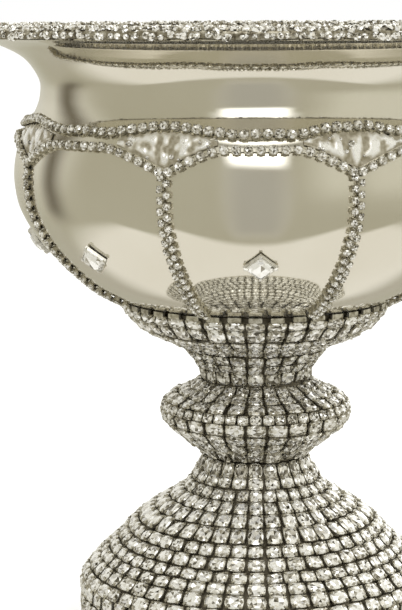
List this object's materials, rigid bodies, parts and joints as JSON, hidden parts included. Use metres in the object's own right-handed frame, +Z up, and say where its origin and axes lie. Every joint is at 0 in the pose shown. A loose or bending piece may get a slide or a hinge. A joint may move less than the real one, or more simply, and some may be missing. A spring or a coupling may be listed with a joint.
{
  "type": "cup trophy",
  "caption": "Footed cup trophy with a wide flared mouth, a lobed mirror-plated bowl framed by chains of set crystals, and a crystal-covered stem and domed foot.",
  "frame": {"origin": "centre of the felt pad's underside, on the cup's axis", "axes": "+Z up along the cup's axis; -Y is the front, where the middle of a narrow panel faces"},
  "size_m": [0.1988, 0.1988, 0.2102],
  "materials": {
    "mirror_plate": "polished nickel plate, mirror bright",
    "pave_setting": "bright plate, closely set with small clear crystals",
    "chain_setting": "bright plated cup chain, set with clear crystals",
    "crystal": "foil-backed clear cut crystal",
    "stone_band": "bright plated settings, closely set with clear crystals",
    "casting": "cast, plated dull",
    "plain_steel": "zinc plated",
    "felt": "black felt"
  },
  "bodies": {
    "root": {"bowl_shell": "mirror_plate", "rim_band": "pave_setting", "top_chain": "chain_setting", "panel_chain_1": "chain_setting", "panel_chain_2": "chain_setting", "panel_chain_3": "chain_setting", "panel_chain_4": "chain_setting", "panel_chain_5": "chain_setting", "panel_chain_6": "chain_setting", "panel_chain_7": "chain_setting", "panel_chain_8": "chain_setting", "spandrel_1": "pave_setting", "spandrel_2": "pave_setting", "spandrel_3": "pave_setting", "spandrel_4": "pave_setting", "spandrel_5": "pave_setting", "spandrel_6": "pave_setting", "spandrel_7": "pave_setting", "spandrel_8": "pave_setting", "bezel_1": "chain_setting", "bezel_2": "chain_setting", "bezel_3": "chain_setting", "bezel_4": "chain_setting", "bezel_5": "chain_setting", "bezel_6": "chain_setting", "bezel_7": "chain_setting", "bezel_8": "chain_setting", "square_crystal_1": "crystal", "square_crystal_2": "crystal", "square_crystal_3": "crystal", "square_crystal_4": "crystal", "square_crystal_5": "crystal", "square_crystal_6": "crystal", "square_crystal_7": "crystal", "square_crystal_8": "crystal", "collar_band_upper": "stone_band", "collar_band_lower": "stone_band", "waist_band_upper": "stone_band", "knop_band_shoulder": "stone_band", "knop_band_equator": "stone_band", "knop_band_belly": "stone_band", "knop_band_underside": "stone_band", "waist_band_lower": "stone_band", "stem_band_flare": "stone_band", "foot_band_crown": "stone_band", "foot_band_shoulder": "stone_band", "foot_band_slope": "stone_band", "foot_band_edge": "stone_band", "foot_band_wall": "stone_band", "collar_casting": "casting", "knop_casting": "casting", "foot_casting": "casting", "base_ring": "mirror_plate", "base_plate": "plain_steel", "felt_pad": "felt", "tie_rod": "plain_steel", "bowl_washer": "plain_steel", "foot_washer": "plain_steel", "bowl_nut": "plain_steel", "foot_nut": "plain_steel"}
  },
  "joints": []
}
